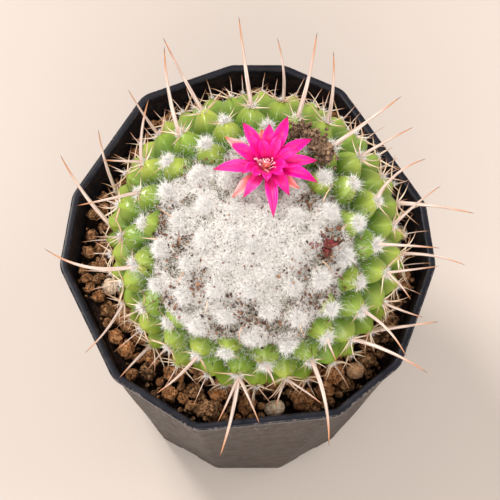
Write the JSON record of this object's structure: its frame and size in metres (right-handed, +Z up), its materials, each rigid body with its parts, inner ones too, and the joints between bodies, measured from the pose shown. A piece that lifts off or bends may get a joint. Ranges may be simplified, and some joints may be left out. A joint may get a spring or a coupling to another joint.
{
  "type": "potted round cactus",
  "caption": "Round spiny cactus with a woolly crown and one star-shaped flower, rooted in clay granules in a twelve-sided tapered plastic pot.",
  "frame": {"origin": "centre of the pot's flat foot, at the height it stands on", "axes": "+Z up out of the pot, +Y to the back of the plant, away from the side to which it leans, +X to its right"},
  "size_m": [0.1015, 0.1022, 0.1339],
  "materials": {
    "pot_plastic": "moulded satin black plastic, faintly scuffed",
    "clay_granules": "rough baked clay granules, matt",
    "cactus_skin": "waxy green plant skin with pale pink spines",
    "plant_wool": "dense white plant wool",
    "petals": "satin magenta petals",
    "stamens": "pale pink filaments with cream tips",
    "dried_petals": "dry, dark red-brown",
    "peat": "crumbly peat",
    "pale_stone": "matt pumice"
  },
  "bodies": {
    "root": {"pot": "pot_plastic", "soil": "clay_granules", "cactus": "cactus_skin", "crown_wool": "plant_wool", "flower": "petals", "flower_stamens": "stamens", "dried_flower": "dried_petals", "peat_clod": "peat", "pale_stone_1": "pale_stone", "pale_stone_2": "pale_stone", "pale_stone_3": "pale_stone", "pale_stone_4": "pale_stone"}
  },
  "joints": []
}
